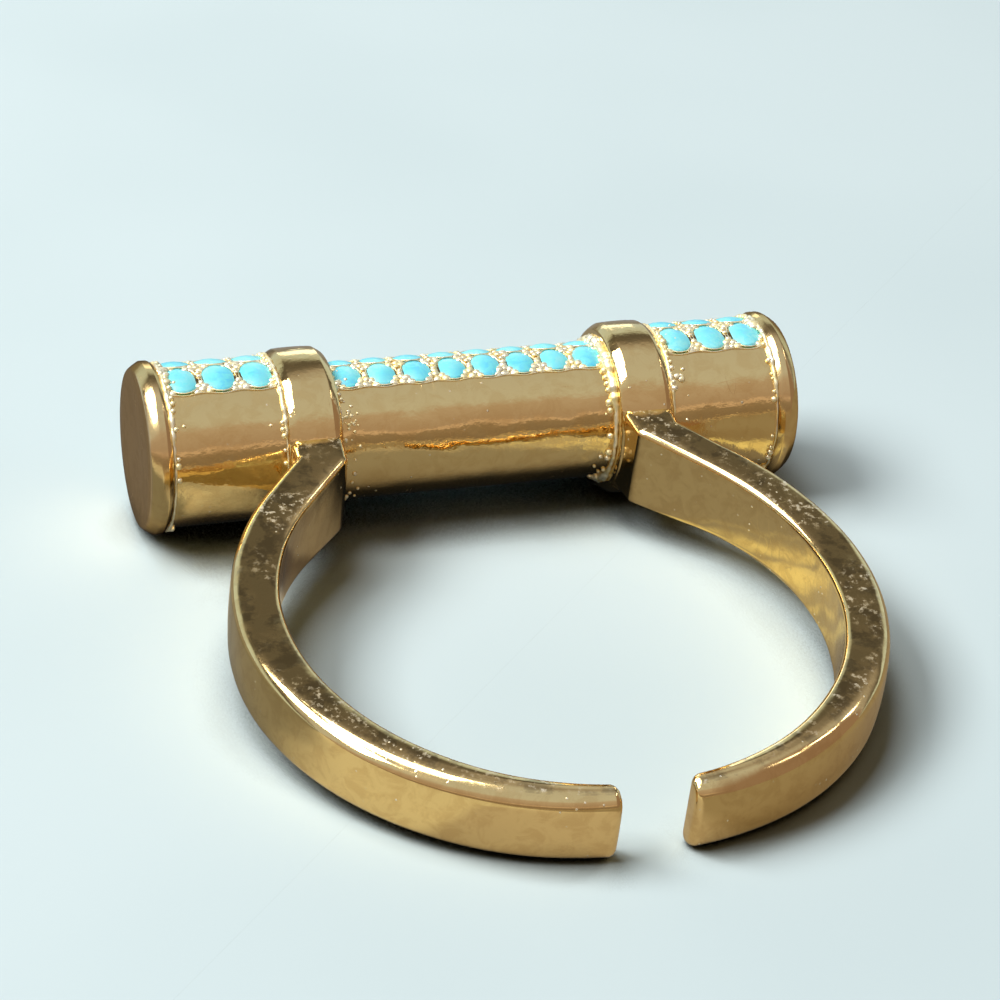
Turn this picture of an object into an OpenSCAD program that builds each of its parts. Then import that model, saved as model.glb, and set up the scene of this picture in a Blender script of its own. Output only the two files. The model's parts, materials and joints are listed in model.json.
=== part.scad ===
// Bar ring: an open finger ring whose top is a straight cylindrical bar.
// Two collars on the band hold the bar, flat caps close its ends, and rows of
// small turquoise cabochons cover the side of the bar that faces away from the finger.
// The ring lies on its side, as it rests on a table: on its two collars and on the
// lower edges of the band beside the gap.

/* [Band] */
// Inside diameter of the band, across the finger
finger_d = 17; // [16:0.1:19]
// Width of the band along the finger
band_w = 2.4; // [2:0.1:2.8]
// Thickness of the band at its sides
band_t = 1.5; // [1.3:0.05:1.7]
// How much thinner the band is at the gap than at its sides
band_taper = 0.7; // [0.3:0.05:0.8]
// Open gap between the two ends of the band
gap_w = 2.15; // [1.5:0.05:3]
// Rounding of the band's outer edges
band_edge = 0.25; // [0.15:0.01:0.35]
// Bevel of the band's inner edges
inner_bevel = 0.12; // [0.05:0.01:0.2]

/* [Bar] */
// Whole length of the bar with its caps
bar_len = 21.7; // [21:0.1:24]
// Diameter of the bar outside the collars
bar_d = 5.24; // [5.1:0.02:5.4]
// Diameter of the bar between and inside the collars
mid_d = 4.46; // [4.44:0.02:4.6]
// Distance from the finger's centre to the bar's centre line
bar_y = 10.85; // [10.8:0.05:11.2]
// Diameter of the end caps
cap_d = 5.56; // [5.5:0.02:5.8]
// Thickness of an end cap
cap_t = 0.73; // [0.6:0.01:0.9]
// Rounding of an end cap's rim
cap_edge = 0.24; // [0.1:0.01:0.28]

/* [Collars] */
// Outer diameter of a collar
collar_d = 5.7; // [5.6:0.05:5.9]
// Width of a collar along the bar
collar_w = 1.8; // [1.6:0.05:2]
// Distance from the ring's middle to a collar's middle
collar_x = 5.55; // [5.4:0.05:5.6]
// Rounding of a collar's edges
collar_edge = 0.14; // [0.05:0.01:0.2]

/* [Stones] */
// Columns of stones between the collars
mid_columns = 8; // [6:1:8]
// Columns of stones on each outer stretch of the bar
end_columns = 3; // [2:1:3]
// Diameter of a stone between the collars
mid_stone_d = 1.02; // [0.8:0.01:1.02]
// Diameter of a stone on the outer stretches
end_stone_d = 1.1; // [0.8:0.01:1.1]
// Height of a stone's top above the metal beside it
stone_rise = 0.1; // [0.08:0.01:0.2]
// Depth of the sunk strip that holds the stones
strip_depth = 0.15; // [0.1:0.01:0.15]
// Radius of a metal grain between four stones
grain_r = 0.24; // [0.15:0.01:0.26]

/* [Hidden] */

$fn = 96;
GOLD = "#d8b878";
TURQUOISE = "#3fc0dc";

// Play between two pieces that meet
fit_gap = 0.03;

// Rows of stones, as angles round the bar from the side facing away from the finger
row_step = 30;
row_angles = [-90 : row_step : 90];
grain_angles = [-90 - row_step / 2 : row_step : 90 + row_step / 2];
strip_half_angle = 90 + row_step / 2 + 1;
stone_dome = 0.18;
stone_lift = 0.02;
grain_lift = 0.02;

finger_r = finger_d / 2;
mid_r = mid_d / 2;
bar_r = bar_d / 2;
cap_r = cap_d / 2;

// Stretches of the bar, as distances from its middle
collar_in = collar_x - collar_w / 2;
collar_out = collar_x + collar_w / 2;
end_stop = bar_len / 2 - cap_t - fit_gap;

// The band's shoulder leaves the finger circle on a tangent towards the foot of the collar.
// This angle's sine and cosine end within six digits, so the arcs on both sides of a seam
// meet exactly.
shoulder_a = 2 * asin(0.352);
neck_x = collar_in + 0.05;
shoulder_len = (finger_r * cos(shoulder_a) - neck_x) / sin(shoulder_a) + 1;

// The lower half of the band has its centre moved sideways, so that it thins to the gap
lower_r = finger_r + band_t - band_taper;
front_y = sqrt(pow(lower_r, 2) - pow(gap_w / 2 - band_taper, 2));

// Lean at which the collars and the band's lower edges both touch the table
rest_r = max(collar_d, cap_d) / 2;
edge_y = front_y - band_edge;
edge_z = band_w / 2 - band_edge;
foot_reach = norm([bar_y + edge_y, edge_z]);
rest_tilt = asin((rest_r - band_edge) / foot_reach) - atan2(edge_z, bar_y + edge_y);
rest_lift = rest_r - bar_y * sin(rest_tilt);
back_edge = bar_y * cos(rest_tilt) + rest_r;
front_edge = edge_y * cos(rest_tilt) + edge_z * sin(rest_tilt) + band_edge;
rest_shift = (front_edge - back_edge) / 2;

far = 30;

// Moves the ring from the finger's centre to its place on the table
module at_rest() {
    translate([0, rest_shift, rest_lift]) rotate([rest_tilt, 0, 0]) children();
}

// Turns a shape that stands along Z so that it lies along the bar
module along_bar(x = 0) {
    translate([x, bar_y, 0]) rotate([0, 90, 0]) children();
}

// Stands a shape on the bar, its Z axis pointing outwards at an angle round the bar
module on_bar(x, angle, r) {
    translate([x, bar_y, 0]) rotate([angle - 90, 0, 0]) translate([0, 0, r]) children();
}

// Half section of a disc or ring, with its two outer corners rounded
module rim_section(r_in, r_out, w, edge) {
    translate([r_in, -w / 2]) square([r_out - edge - r_in, w]);
    translate([r_in, edge - w / 2]) square([r_out - r_in, w - 2 * edge]);
    for (side = [-1, 1]) translate([r_out - edge, side * (w / 2 - edge)]) circle(edge);
}

// Section of the band, its inner face on X = r_in and its inner corners bevelled
module band_section(r_in) {
    difference() {
        rim_section(r_in, r_in + band_t, band_w, band_edge);
        for (side = [0, 1]) mirror([0, side]) translate([r_in, band_w / 2])
            polygon([[-1, -inner_bevel - 1], [inner_bevel + 1, 1], [-1, 1]]);
    }
}

module finger_hole() {
    cylinder(r = finger_r, h = far, center = true);
    for (side = [0, 1]) mirror([0, 0, side]) translate([0, 0, band_w / 2 - inner_bevel])
        cylinder(r1 = finger_r, r2 = finger_r + 1, h = 1);
}

// Side of the band from the shoulder down to the widest place of the finger hole
module upper_arc() {
    intersection() {
        rotate([0, 0, shoulder_a]) intersection() {
            rotate_extrude() band_section(finger_r);
            translate([0, -far, -far / 2]) cube([far, far, far]);
        }
        translate([0, 0, -far / 2]) cube([far, far, far]);
    }
}

// Side of the band from there to the gap, getting thinner. Its round shapes are turned half
// round, so that the lines where they close lie away from the seam with the upper arc.
module lower_arc() {
    difference() {
        intersection() {
            translate([band_taper, 0, 0]) rotate([0, 0, 180])
                rotate_extrude() rim_section(0, lower_r, band_w, band_edge);
            translate([gap_w / 2, -far, -far / 2]) cube([far, far, far]);
        }
        rotate([0, 0, 180]) finger_hole();
    }
}

// Straight shoulder that runs up into the collar
module shoulder() {
    difference() {
        rotate([0, 0, shoulder_a]) rotate([-90, 0, 0])
            linear_extrude(shoulder_len) band_section(finger_r);
        translate([neck_x - far, 0, -far / 2]) cube([far, far, far]);
    }
}

module collar() {
    along_bar(collar_x) rotate_extrude() rim_section(0, collar_d / 2, collar_w, collar_edge);
}

// One arm of the band with the collar that it is soldered to
module arm() {
    upper_arc();
    lower_arc();
    shoulder();
    collar();
}

// Sunk strip for one field of stones, cut round the outward side of the bar
module strip(x_from, x_to, r) {
    along_bar(x_from) linear_extrude(x_to - x_from) difference() {
        circle(r + 1);
        circle(r - strip_depth);
        polygon([[0, 0],
                 [far * sin(strip_half_angle), far * cos(strip_half_angle)],
                 [far, -far], [-far, -far],
                 [-far * sin(strip_half_angle), far * cos(strip_half_angle)]]);
    }
}

// Metal grains where four stones meet
module grains(x_from, x_to, r, columns) {
    pitch = (x_to - x_from) / columns;
    for (column = [1 : columns - 1], angle = grain_angles)
        on_bar(x_from + column * pitch, angle, r - strip_depth + grain_lift) sphere(grain_r);
}

// One field of low cabochons
module stones(x_from, x_to, r, columns, d) {
    pitch = (x_to - x_from) / columns;
    height = strip_depth - stone_lift + stone_rise;
    dome_r = (pow(d / 2, 2) + pow(stone_dome, 2)) / (2 * stone_dome);
    for (column = [1 : columns], angle = row_angles)
        on_bar(x_from + (column - 0.5) * pitch, angle, r - strip_depth + stone_lift)
            intersection() {
                cylinder(d = d, h = height);
                translate([0, 0, height - dome_r]) sphere(dome_r);
            }
}

// The bar, thinner between the collars, with its three sunk strips and their grains
module bar() {
    difference() {
        along_bar() rotate_extrude() polygon([
            [0, -end_stop], [bar_r, -end_stop], [bar_r, -collar_x], [mid_r, -collar_x],
            [mid_r, collar_x], [bar_r, collar_x], [bar_r, end_stop], [0, end_stop]]);
        strip(-collar_in, collar_in, mid_r);
        strip(collar_out, far, bar_r);
        strip(-far, -collar_out, bar_r);
    }
    grains(-collar_in, collar_in, mid_r, mid_columns);
    grains(collar_out, end_stop, bar_r, end_columns);
    grains(-end_stop, -collar_out, bar_r, end_columns);
}

// The metal body: the band's two arms, the collars and the bar, soldered into one
module frame() {
    color(GOLD) at_rest() {
        for (side = [0, 1]) mirror([side, 0, 0]) arm();
        bar();
    }
}

module end_cap(side) {
    color(GOLD) at_rest() along_bar(side * (bar_len - cap_t) / 2)
        rotate_extrude() rim_section(0, cap_r, cap_t, cap_edge);
}

module end_stones(side) {
    color(TURQUOISE) at_rest() mirror([side, 0, 0])
        stones(collar_out, end_stop, bar_r, end_columns, end_stone_d);
}

module stones_middle() {
    color(TURQUOISE) at_rest()
        stones(-collar_in, collar_in, mid_r, mid_columns, mid_stone_d);
}

frame();
end_cap(-1);  // end_cap_left
end_cap(1);  // end_cap_right
end_stones(1);  // stones_left
stones_middle();
end_stones(0);  // stones_right
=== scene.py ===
import json
import math
import random

import bmesh
import bpy
from mathutils import Matrix, Quaternion, Vector, noise


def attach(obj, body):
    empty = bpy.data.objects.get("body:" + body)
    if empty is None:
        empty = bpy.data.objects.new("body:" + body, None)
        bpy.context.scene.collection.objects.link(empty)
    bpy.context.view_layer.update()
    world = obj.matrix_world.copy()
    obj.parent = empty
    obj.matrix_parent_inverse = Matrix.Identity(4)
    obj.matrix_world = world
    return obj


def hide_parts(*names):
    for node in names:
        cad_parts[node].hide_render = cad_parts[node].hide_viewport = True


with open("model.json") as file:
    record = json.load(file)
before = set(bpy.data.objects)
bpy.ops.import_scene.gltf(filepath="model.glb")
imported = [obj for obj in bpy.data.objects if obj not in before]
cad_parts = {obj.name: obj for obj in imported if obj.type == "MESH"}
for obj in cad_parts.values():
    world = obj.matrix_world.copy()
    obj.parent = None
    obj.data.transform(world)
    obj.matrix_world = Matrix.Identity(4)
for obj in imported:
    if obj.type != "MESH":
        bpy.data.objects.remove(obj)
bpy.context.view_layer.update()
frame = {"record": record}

random.seed(7)
mm = 0.001

# The ring has its own frame, in millimetres: the finger runs along Z, the bar along X at
# Y = barOffset, and the gap is at -Y. The finger's seat in the record says how it leans.
ring = {
    "fingerRadius": 8.5,
    "barOffset": 10.85,
    "middleRadius": 2.23,    # bar between and inside the collars
    "endRadius": 2.62,       # bar outside the collars
    "endStop": 10.12,        # where the bar meets a cap
    "step": 5.55,            # where the bar gets thinner, inside each collar
    "collarIn": 4.65,        # sides of each collar
    "collarOut": 6.45,
}
seat = frame["record"]["mounts"][0]
ringLean = math.atan2(-seat["axis"][1], seat["axis"][2])
ringPlace = (Matrix.Translation(seat["pos_m"]) @ Matrix.Rotation(ringLean, 4, "X")
             @ Matrix.Scale(mm, 4))

# Camera at the photo's angle: from above the gap, a little to the left
camera = {
    "azimuth": 19.44,        # degrees from +Y towards +X
    "elevation": 31.38,
    "roll": 4.92,
    "distance": 0.1015,
    "target": (0.000283, 0.005017, 0.001948),
    "lens": 114.07,
    "sensor": 36,
    "clip": (0.002, 20),
}


def addObject(name, data):
    item = bpy.data.objects.new(name, data)
    bpy.context.scene.collection.objects.link(item)
    return item


def makeCamera():
    turn = math.radians(camera["azimuth"])
    rise = math.radians(camera["elevation"])
    level = math.cos(rise)
    forward = Vector((math.sin(turn) * level, math.cos(turn) * level, -math.sin(rise)))
    data = bpy.data.cameras.new("photoCamera")
    data.lens = camera["lens"]
    data.sensor_width = camera["sensor"]
    data.sensor_fit = "HORIZONTAL"
    data.clip_start, data.clip_end = camera["clip"]
    item = addObject("photoCamera", data)
    roll = Quaternion((0, 0, 1), math.radians(camera["roll"]))
    look = forward.to_track_quat("-Z", "Y") @ roll
    eye = Vector(camera["target"]) - forward * camera["distance"]
    item.matrix_world = Matrix.Translation(eye) @ look.to_matrix().to_4x4()
    bpy.context.scene.camera = item


makeCamera()
print("camera placed")


# Small helpers for node trees
def newGroup(name, values, outputs):
    # a group that reads a place and some values, and puts out values
    group = bpy.data.node_groups.new(name, "ShaderNodeTree")
    group.interface.new_socket(name="Place", in_out="INPUT", socket_type="NodeSocketVector")
    for label, value in values.items():
        socket = group.interface.new_socket(name=label, in_out="INPUT", socket_type="NodeSocketFloat")
        socket.default_value = value
    for label in outputs:
        group.interface.new_socket(name=label, in_out="OUTPUT", socket_type="NodeSocketFloat")
    return group, group.nodes.new("NodeGroupInput"), group.nodes.new("NodeGroupOutput")


def fillInputs(tree, node, inputs):
    # sets each input to its value, or links it where the value is another node's output
    for label, value in inputs.items():
        socket = node.inputs[label]
        if isinstance(value, (int, float)):
            socket.default_value = value
        elif isinstance(value, tuple):
            socket.default_value = (*value, 1) if len(value) < len(socket.default_value) else value
        elif value is not None:
            tree.links.new(value, socket)


def newNode(tree, kind, inputs, **settings):
    node = tree.nodes.new("ShaderNode" + kind)
    for name, value in settings.items():
        setattr(node, name, value)
    fillInputs(tree, node, inputs)
    return node


def noiseNode(tree, place, scale, detail=2.0, rough=0.5, twist=0.0):
    inputs = {"Vector": place, "Scale": scale, "Detail": detail, "Roughness": rough, "Distortion": twist}
    return newNode(tree, "TexNoise", inputs).outputs["Fac"]


def mathNode(tree, operation, first, second=None):
    return newNode(tree, "Math", {0: first, 1: second}, operation=operation).outputs[0]


def product(tree, first, *others):
    for other in others:
        first = mathNode(tree, "MULTIPLY", first, other)
    return first


def splitNode(tree, vector):
    return newNode(tree, "SeparateXYZ", {"Vector": vector}).outputs


def mapNode(tree, place, turn, stretch):
    inputs = {"Vector": place, "Rotation": turn, "Scale": stretch}
    return newNode(tree, "Mapping", inputs).outputs["Vector"]


def rangeNode(tree, value, low, high, toLow=0.0, toHigh=1.0, smooth=True):
    inputs = {"Value": value, "From Min": low, "From Max": high, "To Min": toLow, "To Max": toHigh}
    steps = "SMOOTHSTEP" if smooth else "LINEAR"
    return newNode(tree, "MapRange", inputs, interpolation_type=steps).outputs["Result"]


def mixColour(tree, factor, first, second):
    return newNode(tree, "Mix", {0: factor, 6: first, 7: second}, data_type="RGBA").outputs[2]


def bumpNode(tree, height, distance, normal=None):
    inputs = {"Height": height, "Distance": distance, "Normal": normal}
    return newNode(tree, "Bump", inputs).outputs["Normal"]


def makeRamp(tree, value, tones):
    ramp = newNode(tree, "ValToRGB", {"Fac": value})
    stops = ramp.color_ramp.elements
    for index, (at, tone) in enumerate(tones):
        stop = stops[index] if index < 2 else stops.new(at)
        stop.position = at
        stop.color = (*tone, 1)
    return ramp.outputs["Color"]


# Marks that the golds share. Scales are in marks per metre, and limits are the values of a
# noise or a distance between which a mark fades in.
marks = {
    "cloudLimits": (0.42, 0.62),
    "raggedScale": 16000.0,
    "speckReach": (0.04, 0.2),
    "speckPatches": (0.44, 0.56),
    "scratchLean": (0.2, 0.1),
    "scratchWays": ((0.6, (2600, 160, 900)), (-0.9, (190, 2100, 700))),   # turn and stretch
    "scratchWidth": 0.02,
    "scratchPatches": (0.57, 0.66),
    "rougher": 0.2,          # roughness that flecks and scratches add
    "fleckMetal": 0.4,       # share of the metal look that is left in a fleck
}


# Hand polishing leaves soft waves, fine ripples and cloudy patches
def makePolishWaves():
    values = {"Wave Scale": 600.0, "Ripple Scale": 5200.0, "Ripple Share": 0.08, "Cloud Scale": 1500.0}
    group, entry, leave = newGroup("polishWaves", values, ("Height", "Cloud"))
    place = entry.outputs["Place"]
    waves = noiseNode(group, place, entry.outputs["Wave Scale"], detail=1.0, twist=0.2)
    ripples = noiseNode(group, place, entry.outputs["Ripple Scale"], rough=0.6)
    height = mathNode(group, "ADD", waves, product(group, ripples, entry.outputs["Ripple Share"]))
    clouds = noiseNode(group, place, entry.outputs["Cloud Scale"], detail=5.0, rough=0.65, twist=0.6)
    fillInputs(group, leave, {"Height": height, "Cloud": rangeNode(group, clouds, *marks["cloudLimits"])})
    return group


# Casting leaves small raised specks, in a few cells of a random pattern and mostly in patches
def makeCastSpecks():
    values = {"Scale": 3000.0, "Rarity": 0.92, "Patch Scale": 380.0}
    group, entry, leave = newGroup("castSpecks", values, ("Mask",))
    place = entry.outputs["Place"]
    cells = newNode(group, "TexVoronoi", {"Vector": place, "Scale": entry.outputs["Scale"]}).outputs
    red = newNode(group, "SeparateColor", {"Color": cells["Color"]}).outputs["Red"]
    chosen = mathNode(group, "GREATER_THAN", red, entry.outputs["Rarity"])
    ragged = noiseNode(group, place, marks["raggedScale"], rough=0.6)
    reach = product(group, cells["Distance"], mathNode(group, "ADD", ragged, 0.5))
    dome = rangeNode(group, reach, *marks["speckReach"], 1.0, 0.0)
    patches = noiseNode(group, place, entry.outputs["Patch Scale"])
    kept = product(group, dome, rangeNode(group, patches, *marks["speckPatches"]), chosen)
    fillInputs(group, leave, {"Mask": kept})
    return group


# Wear leaves hair scratches in a few patches: contour lines of a stretched noise
def makeHairScratches():
    group, entry, leave = newGroup("hairScratches", {"Patch Scale": 420.0}, ("Mask",))
    place = entry.outputs["Place"]
    lines = None
    for turn, stretch in marks["scratchWays"]:
        mapped = mapNode(group, place, (*marks["scratchLean"], turn), stretch)
        field = noiseNode(group, mapped, 1.0, detail=0.0)
        away = mathNode(group, "ABSOLUTE", mathNode(group, "SUBTRACT", field, 0.5))
        line = rangeNode(group, away, 0.0, marks["scratchWidth"], 1.0, 0.0)
        lines = line if lines is None else mathNode(group, "MAXIMUM", lines, line)
    patches = noiseNode(group, place, entry.outputs["Patch Scale"], rough=0.6)
    worn = rangeNode(group, patches, *marks["scratchPatches"])
    fillInputs(group, leave, {"Mask": product(group, lines, worn)})
    return group


polishWaves = makePolishWaves()
castSpecks = makeCastSpecks()
hairScratches = makeHairScratches()


def placeGroup(tree, group, inputs):
    return newNode(tree, "Group", inputs, node_tree=group).outputs


def startMaterial(name):
    material = bpy.data.materials.new(name)
    material.use_nodes = True
    tree = material.node_tree
    shader = tree.nodes["Principled BSDF"]
    place = tree.nodes.new("ShaderNodeTexCoord").outputs["Object"]
    return material, tree, shader, place


# Heights and scales of the surface marks are in metres and marks per metre. faceFrom has the
# two distances along X between which a cap's duller face fades in.
goldLooks = {
    "barGold": {
        "colour": (0.90, 0.66, 0.29), "cloudColour": (0.85, 0.60, 0.25),
        "speckHighlightColour": (1.0, 0.9, 0.68), "smooth": 0.05, "cloudy": 0.15,
        "waveHeight": 0.00011, "waveScale": 560.0, "rippleScale": 5200.0, "rippleShare": 0.06,
        "speckHeight": 0.000008, "speckScale": 3600.0, "rarity": 0.78,
        "scratchHeight": 0.000002, "scratchShow": 0.7,
    },
    "bandGold": {
        "colour": (0.92, 0.68, 0.30), "cloudColour": (0.83, 0.59, 0.25),
        "speckHighlightColour": (1.0, 0.9, 0.68), "smooth": 0.07, "cloudy": 0.16,
        "waveHeight": 0.00007, "waveScale": 450.0, "rippleScale": 2600.0, "rippleShare": 0.04,
        "speckHeight": 0.000006, "speckScale": 4200.0, "rarity": 0.7,
        "scratchHeight": 0.0000012, "scratchShow": 0.3,
        # share of the pale flecks and dark blotches painted on upward faces: painted highlight and painted
        # shade
        "paintedTopMottle": 0.75, "shadeBlotchColour": (0.46, 0.34, 0.16),
    },
    "capGold": {
        "colour": (0.88, 0.65, 0.30), "cloudColour": (0.82, 0.58, 0.26),
        "speckHighlightColour": (0.9, 0.8, 0.6), "smooth": 0.12, "cloudy": 0.2,
        "waveHeight": 0.00004, "waveScale": 300.0, "rippleScale": 4000.0, "rippleShare": 0.08,
        "speckHeight": 0.000003, "speckScale": 1800.0, "rarity": 0.95,
        "scratchHeight": 0.000001, "scratchShow": 0.6,
        "faceFrom": (0.01078, 0.010835), "faceColour": (0.84, 0.62, 0.36),
        "faceCloud": (0.73, 0.53, 0.30), "edgeTint": (0.6, 0.5, 0.4),
    },
    # Lumps and solder are a paler, less metallic gold; the paleness is a painted highlight that stands in
    # for their bright glints
    "settingGold": {
        "colour": (1.0, 0.91, 0.66), "cloudColour": (0.98, 0.85, 0.46),
        "speckHighlightColour": (1.0, 0.95, 0.8), "smooth": 0.28, "cloudy": 0.5,
        "waveHeight": 0.00003, "waveScale": 2500.0, "rippleScale": 9000.0, "rippleShare": 0.3,
        "speckHeight": 0.000002, "speckScale": 9000.0, "rarity": 0.8,
        "scratchHeight": 0.000001, "scratchShow": 0.5, "metal": 0.7,
    },
}
# Pale flecks and dark blotches on the band's upward faces: painted highlight and painted shade
paintedTopMottle = {
    "slope": (0.85, 0.97),   # upward part of the normal between which the painted flecks and shade fade in
    "patchScale": 420.0,
    "patchLimits": (0.4, 0.58),
    "fleckScale": 4200.0,
    "fleckLimits": (0.53, 0.66),
    "blotchScale": 1300.0,
    "blotchLimits": (0.47, 0.6),
}


def paintTopMottle(tree, place, look, flecks, cloudy):
    # faces that look up get pale flecks, rougher and less metallic and painted pale as highlights, and dark
    # blotches of painted shade
    normal = tree.nodes.new("ShaderNodeNewGeometry").outputs["True Normal"]
    top = rangeNode(tree, splitNode(tree, normal)["Z"], *paintedTopMottle["slope"], 0.0, look["paintedTopMottle"])
    patches = noiseNode(tree, place, paintedTopMottle["patchScale"])
    fine = noiseNode(tree, place, paintedTopMottle["fleckScale"], detail=3.0, rough=0.7)
    worn = product(tree, top, rangeNode(tree, patches, *paintedTopMottle["patchLimits"]),
                   rangeNode(tree, fine, *paintedTopMottle["fleckLimits"]))
    shadeBlotches = noiseNode(tree, place, paintedTopMottle["blotchScale"], detail=4.0, rough=0.65)
    share = product(tree, top, rangeNode(tree, shadeBlotches, *paintedTopMottle["blotchLimits"]))
    return mathNode(tree, "MAXIMUM", flecks, worn), mixColour(tree, share, cloudy, look["shadeBlotchColour"])


def dullFace(tree, place, look, clouds, tone):
    # the flat faces of the caps, which lie furthest out along X, are duller
    out = mathNode(tree, "ABSOLUTE", splitNode(tree, place)["X"])
    dull = mixColour(tree, clouds, look["faceColour"], look["faceCloud"])
    return mixColour(tree, rangeNode(tree, out, *look["faceFrom"]), tone, dull)


def makeGold(name):
    look = goldLooks[name]
    material, tree, shader, place = startMaterial(name)
    waves = placeGroup(tree, polishWaves, {
        "Place": place, "Wave Scale": look["waveScale"], "Ripple Scale": look["rippleScale"],
        "Ripple Share": look["rippleShare"],
    })
    speckInputs = {"Place": place, "Scale": look["speckScale"], "Rarity": look["rarity"]}
    specks = placeGroup(tree, castSpecks, speckInputs)["Mask"]
    scratches = placeGroup(tree, hairScratches, {"Place": place})["Mask"]
    clouds, flecks = waves["Cloud"], specks
    cloudy = mixColour(tree, clouds, look["colour"], look["cloudColour"])
    if "paintedTopMottle" in look:
        flecks, cloudy = paintTopMottle(tree, place, look, flecks, cloudy)
    # Specks and flecks are painted pale cream, a painted highlight that stands in for their glints; the
    # specks' bumps and the added roughness and lower metal are real surface.
    tone = mixColour(tree, flecks, cloudy, look["speckHighlightColour"])
    if "faceColour" in look:
        tone = dullFace(tree, place, look, clouds, tone)
        fillInputs(tree, shader, {"Specular Tint": look["edgeTint"]})
    rough = rangeNode(tree, clouds, 0.0, 1.0, look["smooth"], look["cloudy"], False)
    marked = mathNode(tree, "MAXIMUM", flecks, product(tree, scratches, look["scratchShow"]))
    wavy = bumpNode(tree, waves["Height"], look["waveHeight"])
    scratched = bumpNode(tree, scratches, look["scratchHeight"], wavy)
    metal = look.get("metal", 1.0)
    fillInputs(tree, shader, {
        "Base Color": tone,
        "Roughness": mathNode(tree, "ADD", rough, product(tree, marked, marks["rougher"])),
        "Metallic": rangeNode(tree, flecks, 0.0, 1.0, metal, marks["fleckMetal"] * metal, False),
        "Normal": bumpNode(tree, specks, look["speckHeight"], scratched),
    })
    return material


turquoiseLook = {
    "colour": (0.22, 0.85, 0.97),
    "pale": (0.36, 0.93, 0.98),
    "deep": (0.14, 0.72, 0.98),
    "stoneScale": 700.0,     # tone from stone to stone
    "stoneLimits": (0.36, 0.64),
    "mottleScale": 4200.0,
    "mottleLimits": (0.35, 0.65),
    "smoothLimits": (0.3, 0.7),
    "smooth": (0.3, 0.45),
    "grain": 0.000006,
    "coat": 0.15,
    "coatRough": 0.12,
    "softLight": 0.1,        # share of the light that enters the stone, and how deep it goes
    "softDepth": 0.0003,
}


def makeTurquoise():
    look = turquoiseLook
    material, tree, shader, place = startMaterial("turquoise")
    stones = rangeNode(tree, noiseNode(tree, place, look["stoneScale"], detail=1.0), *look["stoneLimits"])
    mottle = noiseNode(tree, place, look["mottleScale"], detail=4.0, rough=0.6, twist=0.8)
    toned = mixColour(tree, stones, look["deep"], look["pale"])
    fillInputs(tree, shader, {
        "Base Color": mixColour(tree, rangeNode(tree, mottle, *look["mottleLimits"]), toned, look["colour"]),
        "Roughness": rangeNode(tree, mottle, *look["smoothLimits"], *look["smooth"], False),
        "Normal": bumpNode(tree, mottle, look["grain"]),
        "Coat Weight": look["coat"],
        "Coat Roughness": look["coatRough"],
        "Subsurface Weight": look["softLight"],
        "Subsurface Scale": look["softDepth"],
    })
    return material


barGold = makeGold("barGold")
bandGold = makeGold("bandGold")
capGold = makeGold("capGold")
settingGold = makeGold("settingGold")
turquoise = makeTurquoise()
print("materials made")


# Shared mesh helpers, all in the ring's own frame
mergeWithin = 0.0004         # millimetres


def sheetOf(bm, columns, rows, place):
    for vert in bmesh.ops.create_grid(bm, x_segments=columns, y_segments=rows, size=0.5)["verts"]:
        vert.co = place(round((vert.co.x + 0.5) * columns), round((vert.co.y + 0.5) * rows))


def aroundBar(x, angle, radius):
    # angle runs round the bar from the side that faces away from the finger
    return Vector((x, ring["barOffset"] + radius * math.cos(angle), radius * math.sin(angle)))


def standOnBar(x, angle, radius):
    # matrix that stands a shape on the bar, its X axis along the bar and its Z axis pointing out
    return Matrix.Translation(aroundBar(x, angle, radius)) @ Matrix.Rotation(angle - math.pi / 2, 4, "X")


def mergeAndFill(bm):
    bmesh.ops.remove_doubles(bm, verts=bm.verts, dist=mergeWithin)
    rims = [edge for edge in bm.edges if edge.is_boundary]
    if rims:
        bmesh.ops.holes_fill(bm, edges=rims)
    bmesh.ops.recalc_face_normals(bm, faces=bm.faces)


def meshFrom(bm, name):
    mesh = bpy.data.meshes.new(name)
    bm.to_mesh(mesh)
    bm.free()
    return mesh


def finishPiece(bm, name, nodes, material):
    bmesh.ops.transform(bm, matrix=ringPlace, verts=bm.verts)
    mesh = meshFrom(bm, name)
    mesh.shade_smooth()
    mesh.materials.append(material)
    piece = addObject(name, mesh)
    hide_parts(*nodes)
    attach(piece, "root")


def blend(first, last, share):
    return first + (last - first) * share


def spreadOut(first, last, count):
    return [first + (last - first) * step / count for step in range(count + 1)]


def arcPoints(centre, radius, fromAngle, toAngle, steps):
    turns = [math.radians(turn) for turn in spreadOut(fromAngle, toAngle, steps)]
    return [(centre[0] + radius * math.cos(turn), centre[1] + radius * math.sin(turn)) for turn in turns]


wornEdge = {
    "turns": (0, 9, 18, 28, 31, 34, 37, 40, 52, 64, 77, 90),
    "flatFrom": 28,          # degrees of slope between which a worn edge is nearly flat
    "flatTo": 40,
}


def wornCorner(flat, tight):
    # (along, down) points round a corner that wear has flattened: a wide arc between two tight ones
    points = [(0.0, 0.0)]
    turns = wornEdge["turns"]
    for first, last in zip(turns, turns[1:]):
        radius = flat if wornEdge["flatFrom"] <= first < wornEdge["flatTo"] else tight
        along = points[-1][0] + radius * (math.sin(math.radians(last)) - math.sin(math.radians(first)))
        down = points[-1][1] + radius * (math.cos(math.radians(first)) - math.cos(math.radians(last)))
        points.append((along, down))
    return points


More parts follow.
